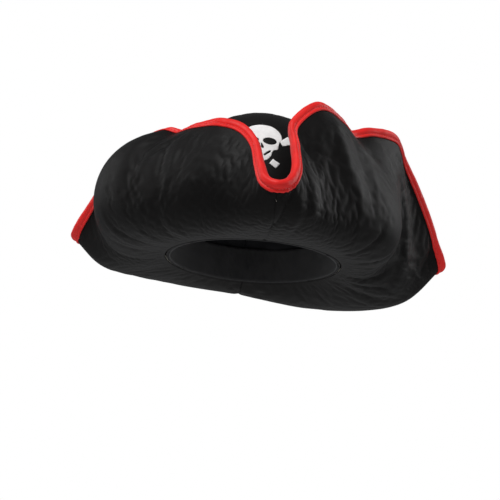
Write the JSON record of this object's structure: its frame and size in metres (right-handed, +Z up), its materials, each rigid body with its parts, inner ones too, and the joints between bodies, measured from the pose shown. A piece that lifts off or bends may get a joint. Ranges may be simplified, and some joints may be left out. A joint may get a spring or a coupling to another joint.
{
  "type": "pirate hat",
  "caption": "Soft black three-cornered costume hat with a padded brim turned up in flaps, a red bound edge and a printed skull and crossbones on the crown.",
  "frame": {"origin": "centre of the head opening, in the plane of the seam between crown and brim", "axes": "+Z up through the crown; -Y to the front trough; +X to the wearer's left"},
  "size_m": [0.3561, 0.3276, 0.1532],
  "materials": {
    "brim_cloth": "smooth black polyester with a soft sheen",
    "crown_cloth": "smooth black polyester bonded to thin foam",
    "lining_cloth": "thin black plain weave",
    "sweatband_tape": "black ribbed ribbon",
    "brim_foam": "open-cell foam",
    "red_binding": "smooth red polyester, folded over and topstitched",
    "white_print": "flat white screen print",
    "tack_thread": "twisted black thread"
  },
  "bodies": {
    "root": {"left_brim_foam": "brim_foam", "right_brim_foam": "brim_foam", "left_brim_outer_cloth": "brim_cloth", "right_brim_outer_cloth": "brim_cloth", "left_brim_inner_cloth": "brim_cloth", "right_brim_inner_cloth": "brim_cloth", "brim_binding": "red_binding", "crown_front_gore": "crown_cloth", "crown_left_gore": "crown_cloth", "crown_back_gore": "crown_cloth", "crown_right_gore": "crown_cloth", "left_lining": "lining_cloth", "right_lining": "lining_cloth", "sweatband": "sweatband_tape", "skull_print": "white_print", "upper_left_bone_print": "white_print", "lower_left_bone_print": "white_print", "upper_right_bone_print": "white_print", "lower_right_bone_print": "white_print", "left_tack": "tack_thread", "right_tack": "tack_thread", "back_tack": "tack_thread"}
  },
  "joints": []
}
